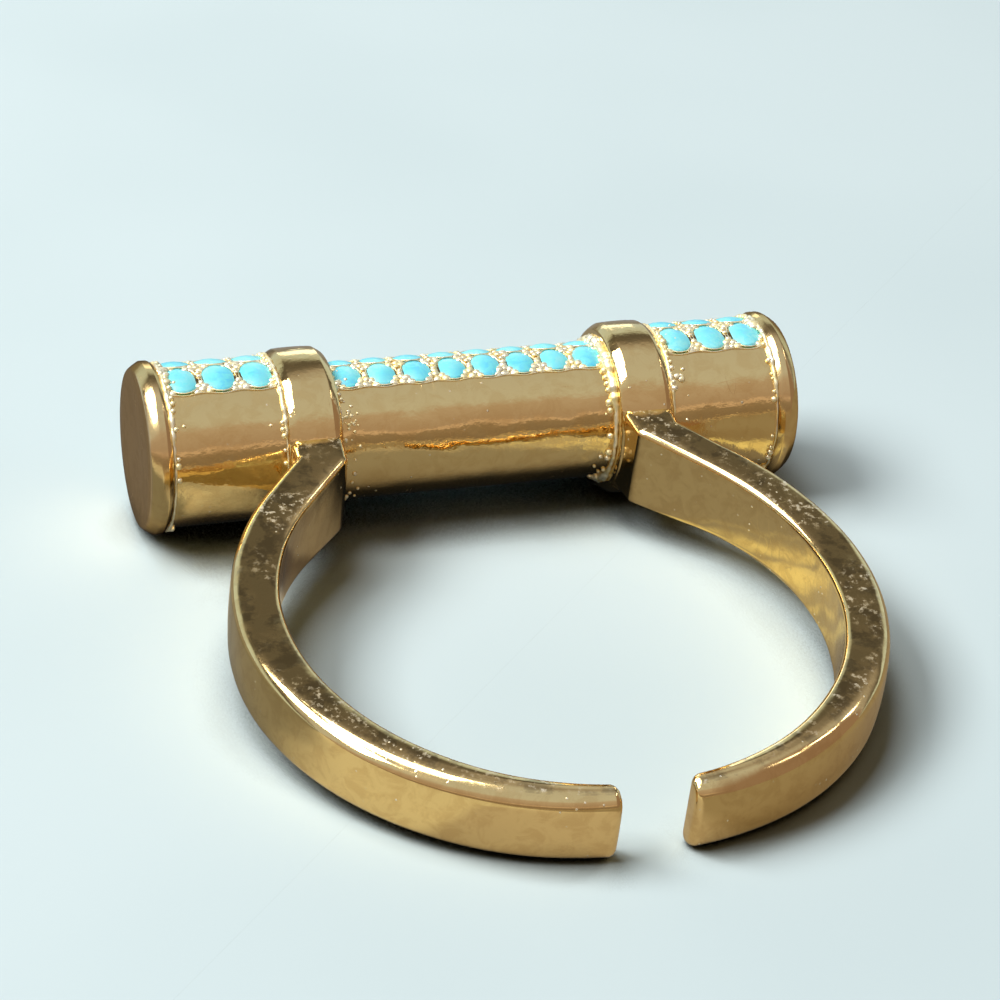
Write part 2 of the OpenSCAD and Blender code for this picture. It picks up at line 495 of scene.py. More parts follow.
def latheRound(bm, profile, steps):
    # profile has (x, radius) points; it is spun round the bar's axis
    verts = [bm.verts.new(aroundBar(x, 0, radius)) for x, radius in profile]
    edges = [bm.edges.new(pair) for pair in zip(verts, verts[1:])]
    bmesh.ops.spin(bm, geom=verts + edges, cent=(0, ring["barOffset"], 0), axis=(1, 0, 0),
                   angle=math.tau, steps=steps, use_merge=True)


def joinPart(bm, part):
    mesh = meshFrom(part, "part")
    bm.from_mesh(mesh)
    bpy.data.meshes.remove(mesh)


def addSheet(bm, columns, rows, place):
    part = bmesh.new()
    sheetOf(part, columns, rows, place)
    mergeAndFill(part)
    joinPart(bm, part)


def addTurned(bm, profile, steps, place, closed=False):
    # spins a profile of (radius, height) points round Z, stands it at its place and adds it to bm
    part = bmesh.new()
    verts = [part.verts.new((radius, 0, height)) for radius, height in profile]
    edges = [part.edges.new(pair) for pair in zip(verts, verts[1:] + verts[:closed])]
    bmesh.ops.spin(part, geom=verts + edges, cent=(0, 0, 0), axis=(0, 0, 1), angle=math.tau,
                   steps=steps, use_merge=True)
    bmesh.ops.remove_doubles(part, verts=part.verts, dist=mergeWithin)
    bmesh.ops.recalc_face_normals(part, faces=part.faces)
    bmesh.ops.transform(part, matrix=place, verts=part.verts)
    joinPart(bm, part)


def easeBetween(value, low, high):
    share = min(1.0, max(0.0, (value - low) / (high - low)))
    return share * share * (3 - 2 * share)


def swellAt(piece, spot, side):
    # a slow wave over a piece, sunk so that the piece stays inside its solid
    shift = Vector((side * piece["waveShift"], 0, 0))
    return noise.noise(spot * piece["waveScale"] + shift) - piece["waveSunk"]


# The open band: one arm on each side, square at the shoulder and soft and thin at the gap
band = {
    "width": 2.4,
    "neckWidth": 2.96,       # width where the band runs into the collar
    "thickness": 1.5,
    "taper": 0.7,            # how far the outer circle of the lower half is moved sideways
    "gap": 2.15,
    "shoulderTurn": math.degrees(2 * math.asin(0.352)),     # where the straight shoulder begins
    "neckInner": (4.81, 4.70),   # x of the inner wall at the neck's corner and at the collar
    "neckOuter": 6.43,
    "neckTop": 8.36,         # where the neck meets the collar's side
    "widensFrom": 12,        # degrees up the finger circle where the band starts to widen
    "shoulderEdge": 0.29,    # rounding of the outer edges at the shoulder and at the gap
    "gapEdge": 0.48,
    "longShoulder": 1.1,     # how much further that rounding goes across the top than down the side
    "longGap": 1.35,
    "softens": (0.82, 0.34),     # share of the way from gap to shoulder over which the edges soften
    "lengthens": (0.6, 0.25),
    "leastFlat": 0.3,        # thickness that the rounding leaves
    "innerEdge": 0.21,
    "endEdge": 0.26,
    "crown": 0.03,           # how far the side bulges, and the top
    "topCrown": 0.015,
    "edgeSteps": (4, 10),    # in the rounding of the inner and the outer edges
    "wave": 0.03,
    "waveScale": 0.45,
    "waveShift": 9,
    "waveSunk": 0.5,
    "widened": (0.45, 0.78),     # share of the widening at the shoulder's start and at its end
    "endSwing": 16,          # degrees past the gap over which the sections turn to face the finger
    "endSteps": 8,
    "degreesAStation": 1.5,
    "shoulderSteps": 10,
    "neckSteps": (0.06, 0.14, 0.25, 0.4, 0.6, 0.8, 1.0, 1.4),    # the last is inside the collar
}


def outerReach(x, y, dx, dy):
    # distance from a point on the inner wall to the outer wall, along a direction
    shift = band["taper"] if y < 0 else 0.0
    radius = ring["fingerRadius"] + band["thickness"] - shift
    px = x - shift
    along = px * dx + y * dy
    return -along + math.sqrt(along * along + radius * radius - px * px - y * y)


def widthAt(share):
    return blend(band["width"], band["neckWidth"], easeBetween(share, 0, 1))


def endStations():
    # the rounded end at the gap
    stations = []
    for turn in spreadOut(0, math.pi / 2, band["endSteps"]):
        x = band["gap"] / 2 + band["endEdge"] * (1 - math.cos(turn))
        y = -math.sqrt(ring["fingerRadius"] ** 2 - x * x)
        far = (x, y - outerReach(x, y, 0.0, -1.0))
        stations.append(((x, y), far, 0.0, band["endEdge"] * (1 - math.sin(turn)), band["width"]))
    return stations


def hoopStations():
    # round the finger from there to the shoulder
    inner, last = ring["fingerRadius"], band["shoulderTurn"]
    first = -math.degrees(math.acos((band["gap"] / 2 + band["endEdge"]) / inner))
    count = round((last - first) / band["degreesAStation"])
    stations = []
    for step, turn in enumerate(spreadOut(first, last, count)[1:], 1):
        swing = max(0.0, 1 - (turn - first) / band["endSwing"])
        facing = math.radians(turn + (-90 - first) * swing * swing)
        x, y = inner * math.cos(math.radians(turn)), inner * math.sin(math.radians(turn))
        dx, dy = math.cos(facing), math.sin(facing)
        reach = outerReach(x, y, dx, dy)
        widened = max(0.0, (turn - band["widensFrom"]) / (last - band["widensFrom"]))
        width = widthAt(band["widened"][0] * widened)
        stations.append(((x, y), (x + dx * reach, y + dy * reach), step / count, 0.0, width))
    return stations


def shoulderStations(start, far):
    # straight from the last points of the hoop to the neck, then up to the collar
    slope = 1 / math.tan(math.radians(band["shoulderTurn"]))
    (neckX, collarX), bendX, top = band["neckInner"], band["neckOuter"], band["neckTop"]
    neckY = start[1] + (start[0] - neckX) * slope
    bendY = far[1] + (far[0] - bendX) * slope
    stations = []
    for part in spreadOut(0, 1, band["shoulderSteps"])[1:]:
        near = (blend(start[0], neckX, part), blend(start[1], neckY, part))
        out = (blend(far[0], bendX, part), blend(far[1], bendY, part))
        stations.append((near, out, 1.0, 0.0, widthAt(blend(*band["widened"], part))))
    for part in band["neckSteps"]:
        near = (blend(neckX, collarX, min(1.0, part)), blend(neckY, top, part))
        width = widthAt(blend(band["widened"][1], 1, part))
        stations.append((near, (bendX, blend(bendY, top, part)), 1.0, 0.0, width))
    return stations


def bandStations():
    # each station: inner point, outer point, share of the way from gap to shoulder, how much
    # the section shrinks to round the band's end, and its width
    stations = endStations() + hoopStations()
    return stations + shoulderStations(*stations[-1][:2])


def bandSection(thickness, share, shrink, width):
    # closed outline of the section, as (distance out from the inner wall, height) points
    wide = width / 2
    soft = blend(band["shoulderEdge"], band["gapEdge"], easeBetween(share, *band["softens"]))
    long = blend(band["longShoulder"], band["longGap"], easeBetween(share, *band["lengthens"]))
    softOut = min(long * soft, thickness - band["leastFlat"])
    bevel, crown = band["innerEdge"], band["crown"]
    innerSteps, outerSteps = band["edgeSteps"]
    half = [(0.0, 0.0), (0.0, 0.4 * wide), (0.0, 0.8 * wide)]
    half += arcPoints((bevel, wide - bevel), bevel, 180, 90, innerSteps)
    flatTop = thickness - crown - softOut - bevel
    half += [(bevel + flatTop * part, wide + band["topCrown"] * math.sin(math.pi * part))
             for part in (0.25, 0.5, 0.75)]
    half += [(thickness - crown - softOut + softOut * math.sin(turn), wide - soft + soft * math.cos(turn))
             for turn in spreadOut(0, math.pi / 2, outerSteps)]
    flat = wide - soft
    half += [(thickness - crown * part * part, flat * part) for part in (0.75, 0.5, 0.25, 0.0)]
    outline = half + [(u, -z) for u, z in reversed(half[1:-1])]
    middle = thickness / 2
    squeezeU, squeezeZ = 1 - shrink / middle, 1 - shrink / wide
    return [(middle + (u - middle) * squeezeU, z * squeezeZ) for u, z in outline]


def makeArm(name, side):
    stations = bandStations()
    sections = []
    for near, far, share, shrink, width in stations:
        thickness = math.dist(near, far)
        section = bandSection(thickness, share, shrink, width)
        direction = Vector(((far[0] - near[0]) / thickness, (far[1] - near[1]) / thickness, 0))
        sections.append([(Vector((near[0], near[1], z)) + direction * u, direction * (u / thickness - 0.5))
                         for u, z in section])
    points = len(sections[0])

    def place(column, row):
        spot, outward = sections[row][column % points]
        spot = spot + outward * band["wave"] * swellAt(band, spot, side)
        spot.x *= side
        return spot

    bm = bmesh.new()
    sheetOf(bm, points, len(stations) - 1, place)
    mergeAndFill(bm)
    finishPiece(bm, name, ["frame"], bandGold)


makeArm("band_arm_left", -1)
makeArm("band_arm_right", 1)
print("band made")


# The two collars, soldered to the bar and the band
collar = {
    "radius": 2.85,
    "edge": (1.3, 0.12),     # radius of its edges where they are worn flat, and beside that
    "crown": 0.02,
    "loops": (-0.66, -0.33, 0.0, 0.33, 0.66),
    "sunk": 0.2,             # how far it reaches into the bar
    "firstLoop": 0.25,       # height of the first loop of its sides above that
    "steps": 180,
    "wave": 0.012,
    "waveScale": 0.9,
    "waveShift": 3,
    "waveSunk": 0.6,
}


def makeCollar(name, side):
    inside, outside = ring["collarIn"], ring["collarOut"]
    top, crown = collar["radius"], collar["crown"]
    corner = wornCorner(*collar["edge"])
    foot = ring["middleRadius"] - collar["sunk"]
    loop = foot + collar["firstLoop"]
    middle, reach = (inside + outside) / 2, (outside - inside) / 2 - corner[-1][0]
    profile = [(inside, foot), (inside, loop)]
    profile += [(middle - reach - along, top - crown - down) for along, down in reversed(corner)]
    profile += [(middle + reach * part, top - crown * part * part)
                for part in collar["loops"]]
    profile += [(middle + reach + along, top - crown - down) for along, down in corner]
    profile += [(outside, loop), (outside, foot), (inside, foot)]
    bm = bmesh.new()
    latheRound(bm, [(side * x, radius) for x, radius in profile], collar["steps"])
    for vert in bm.verts:
        centre = Vector((vert.co.x, ring["barOffset"], 0))
        spoke = vert.co - centre
        swell = swellAt(collar, vert.co, side) * collar["wave"]
        vert.co = centre + spoke * (1 + swell / spoke.length)
    mergeAndFill(bm)
    finishPiece(bm, name, ["frame"], barGold)


makeCollar("collar_left", -1)
makeCollar("collar_right", 1)
print("collars made")


# Fields of stones: where each lies along the bar, its stones' radius along the bar, and how much
# longer they are round it
fields = {
    "middle": {"start": -ring["collarIn"], "end": ring["collarIn"], "radius": ring["middleRadius"],
               "columns": 8, "stone": 0.51, "oval": 1.15, "lumps": "middle"},
    "right": {"start": ring["collarOut"], "end": 10.09, "radius": ring["endRadius"],
              "columns": 3, "stone": 0.56, "oval": 1.21, "lumps": "end"},
}
fields["left"] = {**fields["right"], "start": -fields["right"]["end"], "end": -ring["collarOut"]}
setting = {
    "rowStep": 30.8,         # degrees, with seven rows round the outward side
    "rows": range(-3, 4),
    "border": 107.8,         # degrees from the middle of the outward side to the strip's edge
    "rail": 0.022,           # radius of the bright wire along that edge
    "railSunk": 0.3,         # share of it that lies below the bar's surface
    "railSides": 6,
    "railSteps": 16,         # to a column of stones
    "scallop": 0.9,          # degrees by which a strip's edge follows the stones
    "scallopFade": 6,        # degrees from the edge to where the bar's mesh stops following it
    "depth": 0.03,           # of the strip where it shows, and of the seats under the stones
    "seat": 0.15,
}

# The bar itself, with its three sunk strips
bar = {
    "rows": 240,
    "endColumns": 36,
    "middleColumns": 96,
    "wave": 0.01,
    "waveScale": (0.5, 1.4),     # along the bar and round it
    "waveSunk": 1.0,
    "wall": 0.03,
    "slack": 0.05,           # how far past a field's ends its strip may reach
}


def barColumns():
    # (x, radius) from the left end to the right one, with a step inside each collar
    stop, outside, inside = ring["endStop"], ring["collarOut"], ring["collarIn"]
    step = ring["step"]
    thick, thin = ring["endRadius"], ring["middleRadius"]
    columns = [(x, thick) for x in spreadOut(-stop, -outside, bar["endColumns"])]
    columns += [(-step, thick), (-step, thin)]
    columns += [(x, thin) for x in spreadOut(-inside, inside, bar["middleColumns"])]
    columns += [(step, thin), (step, thick)]
    columns += [(x, thick) for x in spreadOut(outside, stop, bar["endColumns"])]
    return columns


def borderShift(x, turn):
    # how far the strip's edge is moved at x, in degrees, so that it follows the stones
    for field in fields.values():
        if field["start"] <= x <= field["end"]:
            near = max(0.0, 1 - abs(abs(turn) - setting["border"]) / setting["scallopFade"])
            phase = (x - field["start"]) / (field["end"] - field["start"]) * field["columns"]
            return -math.copysign(setting["scallop"], turn) * math.cos(math.tau * phase) * near
    return 0.0


def makeBar():
    columns = barColumns()
    rows = bar["rows"]
    alongScale, roundScale = bar["waveScale"]

    def place(column, row):
        x, radius = columns[column]
        turn = 360 * (row % rows) / rows
        turn = turn - 360 if turn > 180 else turn
        angle = math.radians(turn + borderShift(x, turn))
        across, up = math.cos(angle) * roundScale, math.sin(angle) * roundScale
        swell = noise.noise(Vector((x * alongScale, across, up))) - bar["waveSunk"]
        return aroundBar(x, angle, radius + bar["wave"] * swell)

    bm = bmesh.new()
    sheetOf(bm, len(columns) - 1, rows, place)
    mergeAndFill(bm)
    for field in fields.values():
        first, last = field["start"] - bar["slack"], field["end"] + bar["slack"]
        inField = []
        for face in bm.faces:
            centre = face.calc_center_median()
            turn = math.degrees(math.atan2(abs(centre.z), centre.y - ring["barOffset"]))
            turn -= borderShift(centre.x, turn)
            if first < centre.x < last and turn < setting["border"]:
                inField.append(face)
        bmesh.ops.inset_region(bm, faces=inField, thickness=bar["wall"], depth=-setting["depth"],
                               use_boundary=True, use_even_offset=True)
    bmesh.ops.recalc_face_normals(bm, faces=bm.faces)
    finishPiece(bm, "bar_body", ["frame"], barGold)


makeBar()
print("bar made")


# Turquoise cabochons in their seats
cabochon = {
    "dome": 0.12,
    "domeSteps": 6,
    "girdle": 0.02,          # height of the upright wall under the dome
    "foot": 0.96,            # radius of the base as a share of the stone's
    "rise": 0.06,            # height of a stone's top above the bar
    "sizes": (0.97, 1.0),    # least and greatest share of the radius, and of the rise
    "rises": (0.85, 1.0),
    "sides": 20,
    "tilt": 1.0,             # degrees by which most stones sit crooked
    "rimWire": 0.02,
    "rimGap": 0.008,         # from a stone to the middle of the wire round it
    "rimSides": 5,
    "rimHeight": 0.1,        # of that wire, above the seat
}


def stonePlaces(field):
    pitch = (field["end"] - field["start"]) / field["columns"]
    for column in range(field["columns"]):
        for row in setting["rows"]:
            yield field["start"] + (column + 0.5) * pitch, math.radians(row * setting["rowStep"])


def cabochonProfile(radius, height):
    dome = cabochon["dome"]
    curve = (radius * radius + dome * dome) / (2 * dome)
    spread = math.asin(radius / curve)
    profile = [(0.0, 0.0), (radius * cabochon["foot"], 0.0), (radius, height - dome - cabochon["girdle"])]
    for turn in spreadOut(spread, 0, cabochon["domeSteps"]):
        profile.append((curve * math.sin(turn), height - curve + curve * math.cos(turn)))
    return profile


def makeStones(name, node, fieldName):
    field = fields[fieldName]
    bm = bmesh.new()
    for x, angle in stonePlaces(field):
        radius = field["stone"] * random.uniform(*cabochon["sizes"])
        height = setting["seat"] + cabochon["rise"] * random.uniform(*cabochon["rises"])
        tiltX, tiltY = [Matrix.Rotation(math.radians(random.gauss(0, cabochon["tilt"])), 4, axis)
                        for axis in "XY"]
        place = standOnBar(x, angle, field["radius"] - setting["seat"]) @ (tiltX @ tiltY)
        place = place @ Matrix.Diagonal((1, field["oval"], 1, 1))
        addTurned(bm, cabochonProfile(radius, height), cabochon["sides"], place)
    finishPiece(bm, name, [node], turquoise)


makeStones("turquoise_left", "stones_left", "left")
makeStones("turquoise_middle", "stones_middle", "middle")
makeStones("turquoise_right", "stones_right", "right")
print("stones set")


# Raised metal where four stones meet, and along the strip's edges: a low mound with flat lumps
# on it. Each lump has its place along the bar and round it, from the mound's middle, and its size.
beads = {
    "middle": {
        "cluster": (
            (-0.2, -0.13, 0.13), (0.2, -0.12, 0.14), (-0.19, 0.13, 0.14), (0.2, 0.13, 0.13),
            (0.0, 0.0, 0.12), (-0.02, -0.29, 0.1), (0.02, 0.29, 0.1), (0.0, -0.54, 0.09),
            (0.01, 0.54, 0.09),
        ),
        "edge": (
            (-0.3, 0.0, 0.16), (0.0, 0.02, 0.15), (0.3, 0.0, 0.16), (-0.19, 0.2, 0.15),
            (0.19, 0.19, 0.15), (0.0, 0.25, 0.13), (0.0, 0.44, 0.11),
        ),
    },
    "end": {
        "cluster": (
            (-0.36, -0.06, 0.13), (-0.34, 0.1, 0.12), (-0.15, 0.14, 0.15), (-0.14, -0.15, 0.14),
            (0.13, 0.15, 0.14), (0.14, -0.14, 0.15), (0.36, 0.06, 0.13), (0.33, -0.1, 0.12),
            (0.0, 0.0, 0.13), (0.0, -0.34, 0.1), (0.0, 0.34, 0.1), (0.0, -0.56, 0.08),
            (0.0, 0.56, 0.08),
        ),
        "edge": (
            (-0.2, 0.0, 0.16), (0.2, 0.01, 0.16), (0.0, 0.04, 0.14), (-0.1, 0.2, 0.13),
            (0.1, 0.2, 0.13), (0.0, 0.38, 0.11),
        ),
    },
    "sizes": (0.82, 1.0),    # least and greatest share of a lump's size
    "flat": 0.6,             # height of a lump as a share of its width
    "top": 0.03,             # of the lumps, above the bar
    "uneven": 0.02,          # how far that height varies
    "stretch": (1.0, 1.4),
    "twist": 0.5,            # radians by which most lumps are turned
    "stray": 0.015,          # how far most lumps lie off their places
    "inset": 0.05,           # how far the lumps at a field's ends lie inwards
    "edgeIn": 3.0,           # degrees from a strip's edge to the lumps beside it
    "mound": (0.28, 0.25, 0.1),      # half length, half width and height
    "edgeMound": (0.26, 0.14, 0.1),
    "sides": 8,
    "rings": 6,
}


def addBall(bm, place):
    part = bmesh.new()
    bmesh.ops.create_uvsphere(part, u_segments=beads["sides"], v_segments=beads["rings"], radius=1,
                              matrix=place)
    joinPart(bm, part)


def addMound(bm, x, angle, radius, shape):
    addBall(bm, standOnBar(x, angle, radius) @ Matrix.Diagonal((*shape, 1)))


def addBead(bm, x, angle, radius, size, stretch=1.0, flat=1.0):
    turn = Matrix.Rotation(random.gauss(0, beads["twist"]), 4, "Z")
    shape = Matrix.Diagonal((size * stretch, size, size * flat, 1))
    addBall(bm, standOnBar(x, angle, radius) @ turn @ shape)


def addRim(bm, x, angle, radius, reach, oval):
    profile = arcPoints((reach, 0), cabochon["rimWire"], 0, 360, cabochon["rimSides"])[:-1]
    place = standOnBar(x, angle, radius) @ Matrix.Diagonal((1, oval, 1, 1))
    addTurned(bm, profile, cabochon["sides"], place, True)


def addRail(bm, field, side):
    sides, rows = setting["railSides"], field["columns"] * setting["railSteps"]
    border = side * setting["border"]

    def place(column, row):
        x = field["start"] + (field["end"] - field["start"]) * row / rows
        turn = math.tau * (column % sides) / sides
        angle = math.radians(border + borderShift(x, border))
        angle += setting["rail"] * math.cos(turn) / field["radius"]
        height = setting["rail"] * (math.sin(turn) - setting["railSunk"])
        return aroundBar(x, angle, field["radius"] + height)

    addSheet(bm, sides, rows, place)


def addLumps(bm, field, x, angle, lumps, inward):
    # inward is 1 or -1 at the field's first or last column, where the lumps lie on one side
    radius = field["radius"]
    for along, across, size in lumps:
        if along * inward >= 0:
            size *= random.uniform(*beads["sizes"])
            spot = x + along + beads["inset"] * inward + random.gauss(0, beads["stray"])
            turn = angle + (across + random.gauss(0, beads["stray"])) / radius
            top = beads["top"] + random.uniform(-beads["uneven"], beads["uneven"])
            addBead(bm, spot, turn, radius + top - size * beads["flat"], size,
                    random.uniform(*beads["stretch"]), beads["flat"])


def makeSetting(name, fieldName):
    field = fields[fieldName]
    lumps = beads[field["lumps"]]
    bm = bmesh.new()
    seat = field["radius"] - setting["seat"]
    pitch = (field["end"] - field["start"]) / field["columns"]
    between = [math.radians((row + 0.5) * setting["rowStep"]) for row in setting["rows"][:-1]]
    edgeTurn = math.radians(setting["border"] - beads["edgeIn"])
    for column in range(field["columns"] + 1):
        x = field["start"] + column * pitch
        inward = (column == 0) - (column == field["columns"])
        for angle in between:
            addMound(bm, x, angle, seat, beads["mound"])
            addLumps(bm, field, x, angle, lumps["cluster"], inward)
        for side in (-1, 1):
            addMound(bm, x, side * edgeTurn, seat, beads["edgeMound"])
            edge = [(along, -side * across, size) for along, across, size in lumps["edge"]]
            addLumps(bm, field, x, side * edgeTurn, edge, inward)
    reach = field["stone"] + cabochon["rimGap"]
    for x, angle in stonePlaces(field):
        addRim(bm, x, angle, seat + cabochon["rimHeight"], reach, field["oval"])
    for side in (-1, 1):
        addRail(bm, field, side)
    finishPiece(bm, name, ["frame"], settingGold)


makeSetting("setting_left", "left")
makeSetting("setting_middle", "middle")
makeSetting("setting_right", "right")
print("settings made")


# Lumpy lines of solder where the bar meets collars and caps, with loose beads beside them. Each
# seam has its place and direction along the bar, the size of its line, the size of the beads on
# it, the share of them that are there, and the share of loose beads beside it.
solder = {
    "seams": (
        {"x": 4.65, "to": -1, "tube": 0.17, "size": (0.07, 0.14), "share": 1.0, "spray": 0.6},
        {"x": -4.65, "to": 1, "tube": 0.08, "size": (0.05, 0.1), "share": 0.6, "spray": 0.9},
        {"x": 6.45, "to": 1, "tube": 0.06, "size": (0.06, 0.15), "share": 0.35, "spray": 0.4},
        {"x": -6.45, "to": -1, "tube": 0.07, "size": (0.06, 0.11), "share": 0.9, "spray": 0.2},
        {"x": 10.1, "to": -1, "tube": 0.08, "size": (0.05, 0.12), "share": 0.6, "spray": 0.15},
        {"x": -10.1, "to": 1, "tube": 0.08, "size": (0.05, 0.12), "share": 0.6, "spray": 0.15},
    ),
    "rows": 300,
    "sides": 8,
    "lumps": 0.6,            # height of the lumps as a share of the line
    "lumpScale": (0.4, 11),  # round the line and along it
    "off": 0.35,             # distances from the seam and from the bar, as shares of the line
    "raised": 0.25,
    "thinned": 0.6,          # how much thinner a line is where the bar faces the finger
    "thinFrom": (0.7, 0.92),
    "beadStep": 0.22,
    "beadStray": 0.2,        # share of that step
    "beadOff": 1.3,          # distance from the seam as a share of the line
    "beadOffStray": 0.05,
    "beadRaised": 0.15,
    "spraySize": (0.03, 0.08),
    "sprayOff": (0.3, 0.85, 0.35),   # nearest, furthest and most usual distance from the seam
    "sprayTurn": 0.05,
    "spraySunk": 0.1,
    "reach": 0.55,           # how much of the beads is left where the bar faces the finger
    "clusters": (            # x, degrees round the bar, number of beads, their spread and their size
        (-9.98, 86, 8, (0.1, 0.5), (0.1, 0.16)), (9.98, 82, 7, (0.08, 0.4), (0.14, 0.2)),
        (6.74, 127, 4, (0.2, 0.1), (0.09, 0.14)), (-4.3, 131, 16, (0.2, 0.66), (0.03, 0.075)),
    ),
    "clusterShape": (1.2, 0.7),      # length and height of those beads as shares of their width
}


def barRadius(x):
    return ring["middleRadius"] if abs(x) < ring["step"] else ring["endRadius"]


def addSolderLine(bm, seam):
    rows, sides = solder["rows"], solder["sides"]
    roundScale, alongScale = solder["lumpScale"]

    def place(column, row):
        angle = math.tau * (row % rows) / rows
        turn = math.tau * (column % sides) / sides
        across, up = math.cos(angle), math.sin(angle)
        spot = Vector((seam["x"] + math.cos(turn) * roundScale, across * alongScale, up * alongScale))
        thin = 1 - solder["thinned"] * easeBetween(-across, *solder["thinFrom"])
        tube = seam["tube"] * (1 + solder["lumps"] * noise.noise(spot)) * thin
        x = seam["x"] + seam["to"] * (seam["tube"] * solder["off"] + tube * math.cos(turn))
        return aroundBar(x, angle, barRadius(seam["x"]) + tube * (solder["raised"] + math.sin(turn)))

    addSheet(bm, sides, rows, place)


def addSolderBeads(bm, seam):
    foot = barRadius(seam["x"])
    count = round(math.tau * foot / solder["beadStep"])
    for index in range(count):
        angle = math.tau * (index + random.uniform(-solder["beadStray"], solder["beadStray"])) / count
        kept = 1 - (1 - solder["reach"]) * (0.5 - 0.5 * math.cos(angle))
        if random.random() < seam["share"] * kept:
            size = random.uniform(*seam["size"])
            off = seam["tube"] * solder["beadOff"] + random.uniform(0, solder["beadOffStray"])
            x = seam["x"] + seam["to"] * off
            addBead(bm, x, angle, foot + size * solder["beadRaised"], size)
        if random.random() < seam["spray"] * kept:
            size = random.uniform(*solder["spraySize"])
            x = seam["x"] + seam["to"] * random.triangular(*solder["sprayOff"])
            turn = angle + random.uniform(-solder["sprayTurn"], solder["sprayTurn"])
            addBead(bm, x, turn, foot - size * solder["spraySunk"], size)


def makeSolder():
    bm = bmesh.new()
    for seam in solder["seams"]:
        addSolderLine(bm, seam)
        addSolderBeads(bm, seam)
    for x, turn, count, spread, sizes in solder["clusters"]:
        foot = barRadius(x)
        for index in range(count):
            angle = math.radians(turn) + random.uniform(-1, 1) * spread[1] / foot
            size = random.uniform(*sizes)
            spot = x + random.uniform(-1, 1) * spread[0]
            addBead(bm, spot, angle, foot, size, *solder["clusterShape"])
    finishPiece(bm, "solder_lines", ["frame"], settingGold)


makeSolder()
print("solder made")


# Flat caps, with rims that wear has flattened
cap = {
    "radius": 2.78,
    "end": 10.85,
    "thickness": 0.73,
    "rim": (1.6, 0.12),      # radius of its rim where it is worn flat, and beside that
    "seamRim": (0.9, 0.05),
    "backLoops": (0.0, 1.2, 2.4),    # radii on the side that meets the bar
    "faceLoops": (0.8, 0.6, 0.4, 0.2, 0.0),      # shares of the face's radius
    "dish": 0.01,            # how far the middle of the face lies in
    "steps": 180,
}


def makeCap(name, node, side):
    end, radius = cap["end"], cap["radius"]
    inner = end - cap["thickness"]
    rim, seamRim = wornCorner(*cap["rim"]), wornCorner(*cap["seamRim"])
    profile = [(inner, loop) for loop in cap["backLoops"]]
    profile += [(inner + seamRim[-1][0] - along, radius - down) for along, down in reversed(seamRim)]
    profile += [(end - rim[-1][0] + along, radius - down) for along, down in rim]
    flat = radius - rim[-1][1]
    profile += [(end - cap["dish"] * (1 - part * part), flat * part) for part in cap["faceLoops"]]
    bm = bmesh.new()
    latheRound(bm, [(side * x, reach) for x, reach in profile], cap["steps"])
    mergeAndFill(bm)
    finishPiece(bm, name, [node], capGold)


makeCap("cap_left", "end_cap_left", -1)
makeCap("cap_right", "end_cap_right", 1)
print("caps made")


# Plain pale floor. Rays from the metal see mostly a painted glow in its place: a painted reflection, calmer
# and darker than the floor itself, with painted shade close to the metal.
floor = {
    "size": 3.0,
    "colour": (0.65, 0.77, 0.80),
    "shade": (0.62, 0.74, 0.77),
    "cloudScale": 40.0,
    "cloudLimits": (0.35, 0.65),
    "rough": 0.6,
    "contact": 0.0035,       # how far from the metal the floor is darkened as painted contact shade
    "contactShadeTone": 0.008,
    "contactLimits": (0.40, 0.50),
    "contactSamples": 4,
    "mirroredContact": (0.36, 0.56),
    "mirroredShare": 0.9,
    "mirroredAlong": (       # painted reflection tone by distance along Y, in metres, dark under the bar as painted shadow
        (-0.020, (0.64, 0.57, 0.47)), (-0.012, (0.47, 0.41, 0.33)), (-0.004, (0.26, 0.23, 0.19)),
        (0.0058, (0.24, 0.21, 0.17)), (0.0068, (0.025, 0.022, 0.02)), (0.012, (0.025, 0.022, 0.02)),
        (0.016, (0.25, 0.24, 0.24)),
    ),
    # painted reflection tone of each zone, lighter or darker, and the limits between which it fades in. A
    # later zone covers an earlier one.
    "mirroredZones": {
        "underLeftNeck": ((0.11, 0.09, 0.075), ("X", -0.0042, -0.0048), ("Y", 0.0030, 0.0045)),
        "beforeLeftEnd": ((0.66, 0.62, 0.49), ("X", -0.0062, -0.0070), ("Y", 0.0068, 0.0060)),
        "pastLeftEnd": ((0.26, 0.24, 0.20), ("X", -0.0106, -0.0114), ("Y", -0.008, -0.003)),
        "besideLeftArm": ((0.18, 0.16, 0.12), ("X", -0.0091, -0.0097), ("Y", -0.008, -0.003),
                          ("Y", 0.0068, 0.0060)),
        "insideRightArm": ((0.47, 0.42, 0.30), ("X", 0.0025, 0.0045), ("Y", 0.0025, 0.0010)),
        "streaksThere": ((0.95, 0.85, 0.43), ("X", 0.0042, 0.0056), ("Y", 0.0062, 0.0050),
                         ("streaks", 0.47, 0.62)),
        "outsideRightArm": ((0.28, 0.22, 0.14), ("outwards", 0.0085, 0.0105)),
    },
    "outwards": 0.6,         # metres along X that one metre along -Y counts for
    "streakTurn": (0, 0, -0.45),
    "streakStretch": (900.0, 260.0, 900.0),  # scale of the streaks, across and along the arm
    "streakTwist": 0.6,
}


